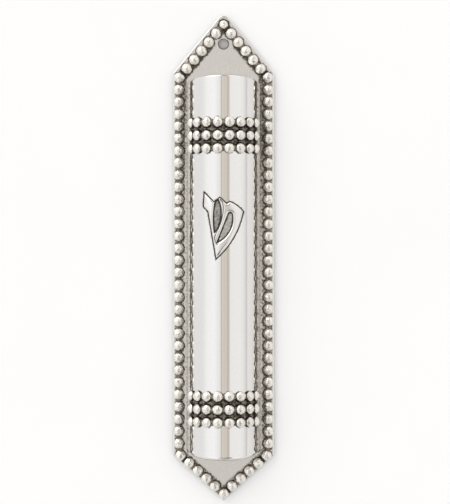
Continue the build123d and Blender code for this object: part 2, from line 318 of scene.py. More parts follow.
class Surface:
    """A mesh being made: points in millimetres, its faces, and for each point how dark it is, from tarnish
    and in places painted shade, and how satin it is.
    """

    def __init__(self):
        self.points = []
        self.faces = []
        self.wear = []

    def point(self, x, y, z, tarnish_and_shade=0.0, satin=0.0):
        self.points.append((x, y, z))
        self.wear.append((tarnish_and_shade, satin))
        return len(self.points) - 1

    def join(self, first, second, closed=False):
        """Quads between two rows of as many points."""
        for here in range(len(first) - (0 if closed else 1)):
            after = (here + 1) % len(first)
            self.faces.append((first[here], first[after], second[after], second[here]))

    def loft(self, rows, closed=False):
        """Quads between each row and the next one."""
        for first, second in zip(rows, rows[1:]):
            self.join(first, second, closed)

    def close(self, ring, x, y, z, tarnish_and_shade=0.0):
        """A fan from a ring to one point."""
        tip = self.point(x, y, z, tarnish_and_shade)
        self.faces += [(here, after, tip) for here, after in zip(ring, ring[1:] + ring[:1])]

    def cover(self, filling, spot, wear, outer_ring=()):
        """A filling's triangles, on the outer ring if there is one; spot makes the other points.

        spot takes a point's x, its z and its row of wear. Returns the loops of the filling."""
        points, triangles, loops = filling
        shared = dict(zip(loops[0], outer_ring))
        made = []
        for index, (x, z) in enumerate(points):
            made.append(shared[index] if index in shared else spot(x, z, *wear[index]))
        self.faces += [tuple(made[index] for index in triangle) for triangle in triangles]
        return [[made[index] for index in loop] for loop in loops]

    def piece(self, name, material, replaced, sharp_degrees=40):
        """The finished object, smooth but for edges sharper than the given angle."""
        mesh = bpy.data.meshes.new(name)
        mesh.from_pydata([Vector(p) * MM for p in self.points], [], self.faces)
        for attribute, values in zip(("tarnish_and_shade", "satin"), zip(*self.wear)):
            mesh.attributes.new(attribute, "FLOAT", "POINT").data.foreach_set("value", values)
        work = bmesh.new()
        work.from_mesh(mesh)
        bmesh.ops.recalc_face_normals(work, faces=work.faces)
        work.to_mesh(mesh)
        work.free()
        mesh.shade_smooth()
        mesh.set_sharp_from_angle(angle=math.radians(sharp_degrees))
        mesh.materials.append(material)
        made = in_scene(name, mesh)
        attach(made, "case")
        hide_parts(replaced)


def inside(points, loop):
    """Whether each (x, z) point is inside a closed loop of them."""
    within = np.zeros(len(points), bool)
    x, z = points[:, 0], points[:, 1]
    for (ax, az), (bx, bz) in zip(loop, np.roll(loop, -1, axis=0)):
        if az != bz:
            within ^= ((az > z) != (bz > z)) & (x < (bx - ax) * (z - az) / (bz - az) + ax)
    return within


def distance_to(points, line, closed=True):
    """How far each (x, z) point is from a line of them, which is a loop unless it is open."""
    nearest = np.full(len(points), np.inf)
    ends = np.roll(line, -1, axis=0) if closed else line[1:]
    for start, end in zip(line, ends):
        run = end - start
        along = np.clip((points - start) @ run / (run @ run), 0, 1)
        nearest = np.minimum(nearest, np.linalg.norm(points - start - along[:, None] * run, axis=1))
    return nearest


def divided(corners, step):
    """A closed loop through the corners, with points every step or less."""
    points = []
    for start, end in zip(corners, np.roll(corners, -1, axis=0)):
        count = max(1, math.ceil(np.linalg.norm(end - start) / step))
        points += [start + (end - start) * number / count for number in range(count)]
    return np.array(points)


def filled(outer, holes, step):
    """Triangles that fill an outer loop but for the holes in it, with points every step.

    Returns the points, the triangles and, for each loop, where its points are in that list."""
    loops = [outer, *holes]
    points = np.concatenate(loops)
    rings = []
    first = 0
    for loop in loops:
        rings.append([*range(first, first + len(loop))])
        first += len(loop)
    edges = [edge for ring in rings for edge in zip(ring, ring[1:] + ring[:1])]
    low, high = outer.min(axis=0), outer.max(axis=0)
    columns, rows = np.meshgrid(*(np.arange(1, int(size / step) + 1) for size in high - low))
    across = low[0] + step * (columns - 0.5 * (rows % 2))
    grid = np.stack([across, low[1] + step * rows], axis=-1).reshape(-1, 2)

    def between_loops(spots):
        return np.logical_xor.reduce([inside(spots, loop) for loop in loops])

    grid = grid[between_loops(grid)]
    clearance = np.min([distance_to(grid, loop) for loop in loops], axis=0)
    points = np.concatenate([points, grid[clearance > 0.6 * step]])
    made = delaunay_2d_cdt([Vector(point) for point in points], edges, [], 0, 1e-6)
    corners = np.array([tuple(corner) for corner in made[0]])
    triangles = np.array([tuple(triangle) for triangle in made[2]])
    triangles = triangles[between_loops(corners[triangles].mean(axis=1))]
    place = {source: index for index, sources in enumerate(made[3]) for source in sources}
    return corners, triangles.tolist(), [[place[index] for index in ring] for ring in rings]


def rounded_polygon(corners, step, inset=0.0):
    """Points round a clockwise polygon of (x, z, radius) corners, moved inwards by inset."""
    places = [Vector((x, z)) for x, z, _ in corners]
    bends = []
    for here, (corner, (_, _, radius)) in enumerate(zip(places, corners)):
        after = places[(here + 1) % len(places)]
        arriving = (corner - places[here - 1]).normalized()
        turn = arriving.angle((after - corner).normalized())
        inwards = Vector((arriving.y, -arriving.x))
        centre = corner - arriving * (radius * math.tan(turn / 2)) + inwards * radius
        pieces = max(4, int(radius * turn / (0.25 * step)))
        start = math.atan2(-inwards.y, -inwards.x)
        bend = []
        for number in range(pieces + 1):
            angle = start - turn * number / pieces
            bend.append(centre + Vector((math.cos(angle), math.sin(angle))) * (radius - inset))
        bends.append(bend)
    points = []
    for bend, following in zip(bends, bends[1:] + bends[:1]):
        runs = max(1, int((following[0] - bend[-1]).length / step))
        points += bend
        points += [bend[-1].lerp(following[0], number / runs) for number in range(1, runs)]
    return np.array([tuple(point) for point in points])


# ---- materials ----


def add(tree, kind, inputs=None, **settings):
    """A node with its settings and its inputs by name or number, each a value or another node's output."""
    made = tree.nodes.new(kind)
    for name, value in settings.items():
        setattr(made, name, value)
    for name, value in (inputs or {}).items():
        if isinstance(value, bpy.types.NodeSocket):
            tree.links.new(value, made.inputs[name])
        else:
            made.inputs[name].default_value = value
    return made


def ramp(tree, value, stops):
    """A colour ramp's output; stops are (place, colour)."""
    made = add(tree, "ShaderNodeValToRGB", {"Fac": value})
    elements = made.color_ramp.elements
    while len(elements) < len(stops):
        elements.new(0.5)
    for element, (place, colour) in zip(elements, stops):
        element.position = place
        element.color = (*colour, 1.0)
    return made.outputs["Color"]


def maths(tree, operation, *values):
    """The result of one operation on a value or two."""
    return add(tree, "ShaderNodeMath", dict(enumerate(values)), operation=operation).outputs["Value"]


def map_range(tree, value, low, high, to_low=0.0, to_high=1.0, kind="SMOOTHSTEP"):
    """The value's place between low and high, on another scale and held at its ends."""
    inputs = {"Value": value, "From Min": low, "From Max": high, "To Min": to_low, "To Max": to_high}
    return add(tree, "ShaderNodeMapRange", inputs, interpolation_type=kind).outputs["Result"]


def noise_at(tree, scale, detail=2.0, roughness=0.5, stretch=1.0):
    """Soft noise over the surface, from 0 to 1, with scale blobs to a millimetre.

    A stretch under 1 draws the blobs out along the case."""
    spot = add(tree, "ShaderNodeTexCoord").outputs["Object"]
    inputs = {"Vector": spot, "Scale": (1 / MM, 1 / MM, stretch / MM)}
    place = add(tree, "ShaderNodeMapping", inputs).outputs["Vector"]
    inputs = {"Vector": place, "Scale": scale, "Detail": detail, "Roughness": roughness}
    return add(tree, "ShaderNodeTexNoise", inputs).outputs["Fac"]


def new_material(name, **sockets):
    """A material, its node tree and its Principled shader, with uniform values set on the shader."""
    made = bpy.data.materials.new(name)
    made.use_nodes = True
    shader = made.node_tree.nodes["Principled BSDF"]
    for socket, value in sockets.items():
        shader.inputs[socket.replace("_", " ")].default_value = value
    return made, made.node_tree, shader


def mixed_colour(tree, first, second, share, blend="MIX"):
    """The first colour with a share of the second laid over it; both are colours or outputs."""
    first, second = ((*value, 1.0) if isinstance(value, tuple) else value for value in (first, second))
    inputs = {0: share, 6: first, 7: second}
    return add(tree, "ShaderNodeMix", inputs, data_type="RGBA", blend_type=blend).outputs[2]


def feed(shader, socket, value):
    """Links a value to one of the shader's inputs."""
    shader.id_data.links.new(value, shader.inputs[socket])


def add_relief(tree, shader, height, depth):
    """A fine relief from a height value, as deep as given in millimetres."""
    inputs = {"Height": height, "Strength": 1.0, "Distance": depth * MM}
    feed(shader, "Normal", add(tree, "ShaderNodeBump", inputs).outputs["Normal"])


def silver(name, clean, polish, satin_clean, satin_polish, dents=0.0, dent_size=1.0, soot=0.1, grain=0.3):
    """Silver that is oxidised, and in places darkened with painted shade, where its tarnish attribute says
    and unpolished where its satin one does.

    clean and polish are the polished metal's colour and roughness, the satin ones the unpolished metal's.
    dents is how high its relief is and dent_size how wide a dent is, in millimetres. soot is how bright
    the oxide is and grain how ragged its edges are."""
    material, tree, shader = new_material(name, Metallic=1.0)
    tarnish_and_shade = add(tree, "ShaderNodeAttribute", attribute_name="tarnish_and_shade").outputs["Fac"]
    satin = add(tree, "ShaderNodeAttribute", attribute_name="satin").outputs["Fac"]

    blotches = noise_at(tree, 1.3, detail=4.0, roughness=0.65)
    ragged = maths(tree, "ADD", tarnish_and_shade, map_range(tree, blotches, 0.2, 0.8, -grain, grain))
    dark = map_range(tree, ragged, 0.2, 0.8)
    fine = noise_at(tree, 3.5, detail=3.0)
    warm = scaled(OXIDE_TINT, soot)
    oxide = ramp(tree, fine, [(0.3, scaled(warm, 0.45)), (0.7, warm)])

    streaks = noise_at(tree, 5.0, detail=4.0, roughness=0.6, stretch=0.06)
    brushed = ramp(tree, streaks, [(0.3, scaled(satin_clean, 0.93)), (0.7, satin_clean)])
    bright = ramp(tree, blotches, [(0.25, scaled(clean, 0.965)), (0.7, clean)])
    metal = mixed_colour(tree, bright, brushed, satin)
    feed(shader, "Base Color", mixed_colour(tree, metal, oxide, dark))
    feed(shader, "Specular Tint", mixed_colour(tree, WHITE, OXIDE_EDGE, dark))

    rubbed = noise_at(tree, 2.0, detail=3.0, stretch=0.06)
    wear = map_range(tree, rubbed, 0.25, 0.75, -0.02, 0.02)
    finish = map_range(tree, satin, 0.0, 1.0, polish, satin_polish, kind="LINEAR")
    worn = maths(tree, "ADD", finish, wear)
    feed(shader, "Roughness", maths(tree, "ADD", worn, maths(tree, "MULTIPLY", dark, 0.35)))

    add_relief(tree, shader, noise_at(tree, 1.0 / dent_size), dents)
    return material


def brushed_silver(name, colour, roughness):
    """Silver that was drawn over emery along its length: fine streaks, a few stains, no polish."""
    material, tree, shader = new_material(name, Metallic=1.0)
    streaks = noise_at(tree, 6.0, detail=4.0, roughness=0.6, stretch=0.04)
    stains = noise_at(tree, 0.35, detail=5.0, roughness=0.6)
    drawn = ramp(tree, streaks, [(0.3, scaled(colour, 0.88)), (0.7, colour)])
    stained = tuple(part * amount for part, amount in zip(colour, STAIN_TINT))
    share = map_range(tree, stains, 0.45, 0.8, 0.0, 0.35)
    feed(shader, "Base Color", mixed_colour(tree, drawn, stained, share))
    finish = map_range(tree, streaks, 0.2, 0.8, roughness - 0.06, roughness + 0.08, kind="LINEAR")
    feed(shader, "Roughness", finish)
    add_relief(tree, shader, streaks, 0.004)
    return material


def parchment(name):
    """Scraped skin: cream, cloudy, with short pale fibres and a faint tooth."""
    material, tree, shader = new_material(name, Roughness=0.65)
    clouds = noise_at(tree, 0.25, detail=5.0, roughness=0.6)
    fibres = noise_at(tree, 4.0, detail=3.0, stretch=0.3)
    creams = [(0.3, (0.72, 0.60, 0.42)), (0.55, (0.82, 0.73, 0.56)), (0.75, (0.86, 0.79, 0.64))]
    skin = ramp(tree, clouds, creams)
    pale = map_range(tree, fibres, 0.55, 0.75, 0.0, 0.4)
    feed(shader, "Base Color", mixed_colour(tree, skin, (0.90, 0.85, 0.74), pale))
    add_relief(tree, shader, fibres, 0.02)
    return material


def clear_plastic(name):
    """The thin clear tube, with faint rubbed marks along it."""
    material, tree, shader = new_material(name, IOR=1.49, Transmission_Weight=1.0)
    marks = noise_at(tree, 1.5, detail=4.0, roughness=0.7, stretch=0.1)
    feed(shader, "Roughness", map_range(tree, marks, 0.45, 0.8, 0.03, 0.2))
    feed(shader, "Base Color", ramp(tree, marks, [(0.4, (0.97, 0.98, 0.98)), (0.8, (0.90, 0.91, 0.92))]))
    return material


def dress(node, material, edge=0.0):
    """A CAD node in its own shape, with a material and a bevel that is edge millimetres wide."""
    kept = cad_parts[node]
    kept.material_slots[0].material = material
    if edge:
        bevel = kept.modifiers.new("edges", "BEVEL")
        bevel.width = edge * MM
        bevel.segments = 2
        bevel.limit_method = "ANGLE"
        bevel.angle_limit = math.radians(30)


# ---- back plate ----


def plate_corners():
    """The plate's corners clockwise from its top point, as (x, z, radius)."""
    top_rise = TOP_CORNER_RADIUS * (math.hypot(HALF_WIDTH, UPPER_POINT_HEIGHT) / HALF_WIDTH - 1)
    bottom_drop = OTHER_CORNER_RADIUS * (math.hypot(HALF_WIDTH, LOWER_POINT_HEIGHT) / HALF_WIDTH - 1)
    top = PLATE_HIGH.z + top_rise
    bottom = PLATE_LOW.z - bottom_drop
    upper = top - UPPER_POINT_HEIGHT
    lower = bottom + LOWER_POINT_HEIGHT
    right = [(HALF_WIDTH, upper), (HALF_WIDTH, lower)]
    others = [*right, (0, bottom), *reversed(mirrored(right))]
    return [(0, top, TOP_CORNER_RADIUS)] + [(x, z, OTHER_CORNER_RADIUS) for x, z in others]


def evenly(start, end, gaps):
    """The points that follow start in equal gaps, up to end."""
    return [between(start, end, number / gaps) for number in range(1, gaps + 1)]


def border_beads():
    """The border's beads on the right as (x, z) lists: along the side, the upper edge, the lower edge."""
    last = SIDE_BEAD_COUNT - 1
    pitch = (UPPER_CORNER_BEAD[1] - LOWER_CORNER_BEAD[1]) / last
    straight = [(SIDE_BEAD_LINE, UPPER_CORNER_BEAD[1] - pitch * number) for number in range(1, last)]
    upper = evenly(UPPER_CORNER_BEAD, TOP_BEAD, UPPER_EDGE_BEAD_GAPS)
    lower = evenly(LOWER_CORNER_BEAD, BOTTOM_BEAD, LOWER_EDGE_BEAD_GAPS)
    return [UPPER_CORNER_BEAD, *straight, LOWER_CORNER_BEAD], upper, lower


def ragged_edge(x, z):
    """How far the edge of the oxide strays at a place on the plate, in millimetres."""
    slow = noise.noise(Vector((x * 0.9, z * 0.9, 0)))
    quick = noise.noise(Vector((x * 2.3, z * 2.3, 5)))
    return 0.4 * slow + 0.25 * quick


def plate_tarnish_and_shade(points):
    """Tarnish of the plate's front: darkest round the beads, along the shell and towards the top, with
    painted shade in the right channel, away from the light.
    """
    side, upper, lower = border_beads()
    half = [upper[-1], *side, lower[-1]]
    line = np.array(half + mirrored(half[-2:0:-1]))
    beads = np.array(side + upper + lower)
    beads = np.concatenate([beads, beads * (-1, 1)])
    from_line = distance_to(points, line)
    outside = ~inside(points, line)
    from_bead = np.min([np.linalg.norm(points - bead, axis=1) for bead in beads], axis=0)
    made = []
    for (x, z), by_line, by_bead, out in zip(points, from_line, from_bead, outside):
        ragged = ragged_edge(x, z)
        past_end = max(z - SHELL_BASE_TOP, SHELL_BASE_BOTTOM - z)
        from_shell = math.hypot(max(abs(x) - FLANGE_EDGE, 0), max(past_end, 0))
        in_channel = smooth_step(*CHANNEL_END, past_end)
        aged = smooth_step(*AGE_HEIGHTS, z)
        # the right channel's further reach is painted shade, on the side away from the light
        channel_spread = CHANNEL_SPREAD_WITH_RIGHT_SHADE[int(x > 0)] + SPREAD_WITH_AGE * aged
        spread = SPREAD_OUTSIDE if out else mix(SPREAD_AT_POINTS, channel_spread, in_channel)
        at_point = TOP_POINT_TARNISH if z > SHELL_BASE_TOP else BOTTOM_POINT_TARNISH
        strength = mix(at_point, mix(*CHANNEL_TARNISH, aged), in_channel)
        shade = strength * smooth_step(spread, spread - SPREAD_FADE, by_line + ragged)
        shade *= smooth_step(*HOLE_CLEARING, math.hypot(x, z))
        reach = BORDER_BEAD[0] + BEAD_CONTACT
        contact = smooth_step(reach, reach - BEAD_CONTACT_FADE, by_bead + 0.3 * ragged)
        by_shell = smooth_step(SHELL_CONTACT[int(x > 0)], 0.0, from_shell + 0.4 * ragged)
        by_shell *= SHELL_CONTACT_TARNISH * in_channel
        made.append(max(shade, contact, by_shell, CHANNEL_STAIN * in_channel))
    return made


def circle(radius):
    """A loop of (x, z) points round the nail hole's axis."""
    turns = [2 * math.pi * number / HOLE_POINTS for number in range(HOLE_POINTS)]
    return np.array([(radius * math.cos(turn), radius * math.sin(turn)) for turn in turns])


def plate_piece(material):
    """The six-sided plate, with its rounded rim, nail hole and rear window."""
    corners = plate_corners()
    surface = Surface()

    # the rim, from the rear round to the front
    levels = [(REAR_ROUNDING, 0.0), (0.0, -REAR_ROUNDING)]
    for number in range(RIM_LEVELS + 1):
        angle = math.pi / 2 * number / RIM_LEVELS
        levels.append((EDGE_ROUNDING * (1 - math.cos(angle)), FRONT + EDGE_ROUNDING * (1 - math.sin(angle))))
    rim = []
    for inset, y in levels:
        rim.append([surface.point(x, y, z) for x, z in rounded_polygon(corners, PLATE_STEP, inset)])
    surface.loft(rim, closed=True)

    half, low, high = WINDOW_HALF_WIDTH, WINDOW_BOTTOM, WINDOW_TOP
    window = divided(np.array([(half, low), (half, high), (-half, high), (-half, low)]), WINDOW_STEP)

    def face(outer_ring, outer, hole, y, step, worn):
        """One flat face on its outer ring. Returns the loops of its window and hole."""
        filling = filled(outer, [window, hole], step)
        tarnish_and_shade = plate_tarnish_and_shade(filling[0]) if worn else [REAR_TARNISH] * len(filling[0])

        def spot(x, z, shade):
            return surface.point(x, y, z, shade, 1.0)

        return surface.cover(filling, spot, [[shade] for shade in tarnish_and_shade], outer_ring)[1:]

    wall = circle(NAIL_HOLE_RADIUS)
    front_outer = rounded_polygon(corners, PLATE_STEP, EDGE_ROUNDING)
    rear_outer = rounded_polygon(corners, PLATE_STEP, REAR_ROUNDING)
    front_hole = circle(NAIL_HOLE_RADIUS + HOLE_BEVEL)
    front_window, hole_edge = face(rim[-1], front_outer, front_hole, FRONT, PLATE_STEP, True)
    rear_window, hole_rear = face(rim[0], rear_outer, wall, 0.0, REAR_STEP, False)
    surface.join(front_window, rear_window, closed=True)
    bevel_edge = [surface.point(x, FRONT, z, 0.0) for x, z in front_hole]
    below_bevel = [surface.point(x, FRONT + HOLE_BEVEL, z, 1.0) for x, z in wall]
    surface.loft([hole_edge, bevel_edge, below_bevel, hole_rear], closed=True)
    surface.piece("plate", material, "back_plate")


# ---- shell ----


def shell_section():
    """The shell's outside from the right flange to the left, as (x, depth, tarnish, satin)."""
    reach = SHELL_RADIUS + SOLDER_RADIUS
    lift = SHEET_THICKNESS + SOLDER_RADIUS
    solder_x = math.sqrt(reach * reach - lift * lift)
    tangent = math.atan2(lift, solder_x)
    right = [
        (FLANGE_EDGE, 0.0, FLANGE_TARNISH[0], 1.0),
        (FLANGE_EDGE, SHEET_THICKNESS - FLANGE_EDGE_ROUNDING, FLANGE_TARNISH[1], 1.0),
        (FLANGE_EDGE - FLANGE_EDGE_ROUNDING, SHEET_THICKNESS, FLANGE_TARNISH[2], 1.0),
    ]
    for number in range(SOLDER_POINTS):
        angle = -math.pi / 2 - (math.pi / 2 - tangent) * number / (SOLDER_POINTS - 1)
        x = solder_x + SOLDER_RADIUS * math.cos(angle)
        tarnish_and_shade = SOLDER_TARNISH + SOLDER_DARKENING * number
        right.append((x, lift + SOLDER_RADIUS * math.sin(angle), tarnish_and_shade, 1.0))
    # less on the left flange: painted shade on the right, away from the light
    left = [(-x, depth, LIT_LEFT_SHARE * tarnish_and_shade, satin) for x, depth, tarnish_and_shade, satin in reversed(right)]
    sweep = math.pi - 2 * tangent
    round_part = []
    for number in range(1, SHELL_ARC_POINTS):
        angle = tangent + sweep * number / SHELL_ARC_POINTS
        round_part.append((SHELL_RADIUS * math.cos(angle), SHELL_RADIUS * math.sin(angle), 0.0, 0.0))
    return right + round_part + left


def foot_oxide_and_painted_reflection(x, depth, z):
    """Darkening up the shell from its foot: oxide, and a painted dark reflection of the beads' flanks and
    channels.
    """
    creep = 0.5 * noise.noise(Vector((x, 0, z * 0.55))) + 0.4 * noise.noise(Vector((x, 7, z * 1.7)))
    reach = FOOT_DARKENING_HEIGHT + creep
    return FOOT_OXIDE_AND_REFLECTION[int(x > 0)] * smooth_step(reach + FOOT_DARKENING_FADE, reach - FOOT_DARKENING_FADE, depth)


def halo(spots):
    """Stain for each (x, depth, z) spot on the shell, from how near a band's beads or the letter are."""
    away = distance_to(spots[:, (0, 2)], np.array(LETTER) + (0, EMBLEM_CENTRE))
    rolled_out = np.stack([SHELL_RADIUS * np.arctan2(spots[:, 0], spots[:, 1]), spots[:, 2]], axis=1)
    for level in band_levels("upper") + band_levels("lower"):
        for angle in band_angles():
            from_bead = np.linalg.norm(rolled_out - (SHELL_RADIUS * angle, level), axis=1) - BAND_BEAD[0]
            away = np.minimum(away, from_bead)
    return HALO_STAIN * np.clip(1 - away / HALO_WIDTH, 0, 1)


def shell_piece(material):
    """The half-round sheet with its flanges; its ends lean outwards and have a rounded rim."""
    slope = (SHELL_HIGH.z - SHELL_BASE_TOP) / SHELL_RADIUS
    section = shell_section()
    inner_radius = SHELL_RADIUS - SHEET_THICKNESS
    surface = Surface()

    def place(x, depth, share, set_in=0.0, sink=0.0):
        """A point of the section at a share of the way up, moved in from the end and sunk to the axis."""
        clip = max(0.0, abs(x) - (FLANGE_EDGE - FLANGE_CORNER_CLIP))
        top = SHELL_BASE_TOP + depth * slope - clip - set_in
        bottom = SHELL_BASE_BOTTOM - depth * slope + clip + set_in
        size = 1 - sink / SHELL_RADIUS if depth > 0 else 1.0
        return x * size, depth * size, mix(bottom, top, share)

    def rim(share, radius):
        """The rows of one end as (share of the way up, how far in, how far sunk, stain)."""
        made = [(share, 0.0, SHEET_THICKNESS, 1.0)]
        for turn in RIM_TURNS:
            made.append((share, radius * (1 - math.sin(turn)), radius * (1 - math.cos(turn)), 0.0))
        return made

    count = int((SHELL_BASE_TOP - SHELL_BASE_BOTTOM) / SHELL_ROW_STEP)
    between_rims = range(SHELL_END_ROWS, count - SHELL_END_ROWS + 1)
    levels = rim(0.0, BOTTOM_RIM_RADIUS)
    levels += [(number / count, 0.0, 0.0, 0.0) for number in between_rims]
    levels += reversed(rim(1.0, TOP_RIM_RADIUS))
    spots = [[place(x, depth, *level[:3]) for x, depth, *_ in section] for level in levels]
    halos = halo(np.array(spots).reshape(-1, 3)).reshape(len(levels), -1)
    rows = []
    for level, line, stains in zip(levels, spots, halos):
        made = []
        for (x, depth, z), (_, _, tarnish_and_shade, satin), stain in zip(line, section, stains):
            # the foot's oxide, with a painted dark reflection of the beads' flanks and the channels
            foot_darkening = 0.0 if satin else foot_oxide_and_painted_reflection(x, depth, z)
            made.append(surface.point(x, FRONT - depth, z, max(tarnish_and_shade, foot_darkening, stain, level[3]), satin))
        rows.append(made)
    surface.loft(rows)

    inner_rows = []
    for share in (0.0, 1.0):
        made = []
        for x, depth, *_ in section:
            angle = math.atan2(depth, x)
            x, depth, z = place(inner_radius * math.cos(angle), inner_radius * math.sin(angle), share)
            made.append(surface.point(x, FRONT - depth, z, INSIDE_TARNISH, 1.0))
        inner_rows.append(made)
    inner_bottom, inner_top = inner_rows
    surface.loft([rows[0], inner_bottom, inner_top, rows[-1]])
    for edge in (0, -1):
        foot = [line[edge] for line in rows]
        surface.faces.append(tuple(foot + [inner_top[edge], inner_bottom[edge]]))
    surface.piece("half_round_shell", material, "case_shell")


# ---- bead wires ----


class Station:
    """A place on a wire: its centre, the way out of the surface under it, and the way along it."""

    def __init__(self, centre, out, along):
        self.centre = Vector(centre)
        self.out = Vector(out).normalized()
        self.along = Vector(along).normalized()
        self.across = self.out.cross(self.along)


def bead_profile():
    """A bead's section from its foot to its top as (distance from its axis, height), in bead radii."""
    steepest = math.asin(DOME_EDGE / DOME_RADIUS)
    flank = 1 - DOME_RADIUS * (1 - math.cos(steepest))
    profile = [(BEAD_FOOT, 0.0), (1.0, 0.6 * flank), (1.0, 0.9 * flank)]
    for number in range(BEAD_RINGS):
        angle = steepest * (1 - number / BEAD_RINGS)
        profile.append((DOME_RADIUS * math.sin(angle), 1 - DOME_RADIUS * (1 - math.cos(angle))))
    return profile


def bead(surface, station, shape, dice):
    """A half bead, a little uneven as hand-finished wire is, dark round its foot."""
    radius, length, foot = shape
    if math.dist((station.centre.x, station.centre.z), TOP_BEAD) < 0.1:
        radius *= TOP_BEAD_SHARE
    seed = Vector([dice.uniform(-50, 50) for _ in range(3)])
    wide, long, high = (dice.uniform(1 - BEAD_SHRINKAGE, 1.0) for _ in range(3))
    drift = station.along * dice.uniform(-BEAD_DRIFT_ALONG, BEAD_DRIFT_ALONG)
    drift += station.across * dice.uniform(-BEAD_DRIFT_ACROSS, BEAD_DRIFT_ACROSS)
    centre = station.centre + drift
    foot += dice.uniform(0.0, OXIDE_LINE_DRIFT)
    rings = []
    for reach, height in [(BEAD_FOOT, -BEAD_BEDDING / radius), *bead_profile()]:
        made = []
        for side in range(BEAD_SIDES):
            turn = 2 * math.pi * side / BEAD_SIDES
            way = (
                station.across * (reach * wide * math.cos(turn))
                + station.along * (reach * long * length * math.sin(turn))
                + station.out * (BEAD_HEIGHT * height * high)
            )
            uneven = sum(size * noise.noise(way * pitch + seed) for size, pitch in BEAD_WAVES)
            spot = centre + way * (radius * (1 + min(uneven - BEAD_LOSS, MOST_PROUD)))
            made.append(surface.point(*spot, smooth_step(foot, foot - OXIDE_LINE_FADE, height)))
        rings.append(made)
    surface.loft(rings, closed=True)
    surface.close(rings[0], *(centre - station.out * BEAD_BEDDING), 1.0)
    surface.close(rings[-1], *(centre + station.out * (BEAD_TOP * radius * high)))


def neck(surface, start, end):
    """The low saddle of wire between two beads."""
    rings = []
    for number in range(NECK_STATIONS):
        share = number / (NECK_STATIONS - 1)
        centre = start.centre.lerp(end.centre, share)
        out = start.out.lerp(end.out, share).normalized()
        across = start.across.lerp(end.across, share).normalized()
        by_bead = (2 * share - 1) ** 2
        size = NECK_RADIUS * (1 + NECK_SPREAD * by_bead)
        made = []
        for side in range(NECK_SIDES):
            turn = math.pi * side / (NECK_SIDES - 1)
            spot = centre + across * (size * math.cos(turn)) + out * (size * NECK_HEIGHT * math.sin(turn))
            made.append(surface.point(*spot, mix(NECK_TARNISH, 1.0, by_bead), 1.0))
        made.append(surface.point(*(centre - out * BEAD_BEDDING), 1.0))
        rings.append(made)
    surface.loft(rings, closed=True)
    surface.faces += [tuple(rings[0]), tuple(rings[-1])]


def wire_piece(name, node, stations, shape, material, dice, stubs=True):
    """Beads at the stations and saddles between them; stubs are a first and last station without a bead."""
    surface = Surface()
    for station in stations[1:-1] if stubs else stations:
        bead(surface, station, shape, dice)
    for start, end in zip(stations, stations[1:]):
        neck(surface, start, end)
    surface.piece(name, material, node, sharp_degrees=60)


def border_pieces(material, dice):
    """The six wires of the border; the beads at the two points of the plate belong to the left ones."""

    def stations(points):
        made = []
        for here, (x, z) in enumerate(points):
            before = points[max(here - 1, 0)]
            after = points[min(here + 1, len(points) - 1)]
            made.append(Station((x, FRONT, z), (0, -1, 0), (after[0] - before[0], 0, after[1] - before[1])))
        return made

    side, upper, lower = border_beads()
    upper_joint = between(side[0], upper[0], 0.5)
    lower_joint = between(side[-1], lower[0], 0.5)
    top_joint = between(upper[-2], upper[-1], 0.5)
    bottom_joint = between(lower[-2], lower[-1], 0.5)
    runs = {
        "right_border": [upper_joint, *side, lower_joint],
        "upper_right_border": [upper_joint, *upper[:-1], top_joint],
        "lower_right_border": [lower_joint, *lower[:-1], bottom_joint],
        "left_border": mirrored([upper_joint, *side, lower_joint]),
        "upper_left_border": [*mirrored([upper_joint, *upper]), top_joint],
        "lower_left_border": [*mirrored([lower_joint, *lower]), bottom_joint],
    }
    for name, points in runs.items():
        wire_piece(f"{name}_wire", f"{name}_beads", stations(points), BORDER_BEAD, material, dice)


def on_arc(radius, angle, z):
    """A station on a curve round the shell; the angle is from its crest, positive to the right."""
    out = (math.sin(angle), -math.cos(angle), 0)
    along = (math.cos(angle), math.sin(angle), 0)
    return Station((radius * out[0], FRONT + radius * out[1], z), out, along)


def band_angles():
    """Where a band's beads are round the shell, from its crest."""
    middle = (BAND_BEADS_PER_ROW - 1) / 2
    return [BAND_BEAD_STEP * (number - middle) for number in range(BAND_BEADS_PER_ROW)]


def band_levels(band):
    """Where a band's rows are along the case."""
    boxes = [limits(f"{band}_band_bead_row_{number}") for number in range(1, ROWS_PER_BAND + 1)]
    return [(low.z + high.z) / 2 for low, high in boxes]


def band_row_pieces(band, material, dice):
    """A band's rows of beads, each a wire of its own that lies on the strip."""
    radius = SHELL_RADIUS + STRIP_THICKNESS
    for number, level in enumerate(band_levels(band), start=1):
        node = f"{band}_band_bead_row_{number}"
        angles = [angle + dice.uniform(-BAND_BEAD_DRIFT, BAND_BEAD_DRIFT) for angle in band_angles()]
        stations = [on_arc(radius, angle, level) for angle in angles]
        wire_piece(node.replace("bead_row", "wire"), node, stations, BAND_BEAD, material, dice, stubs=False)


# ---- band strips ----


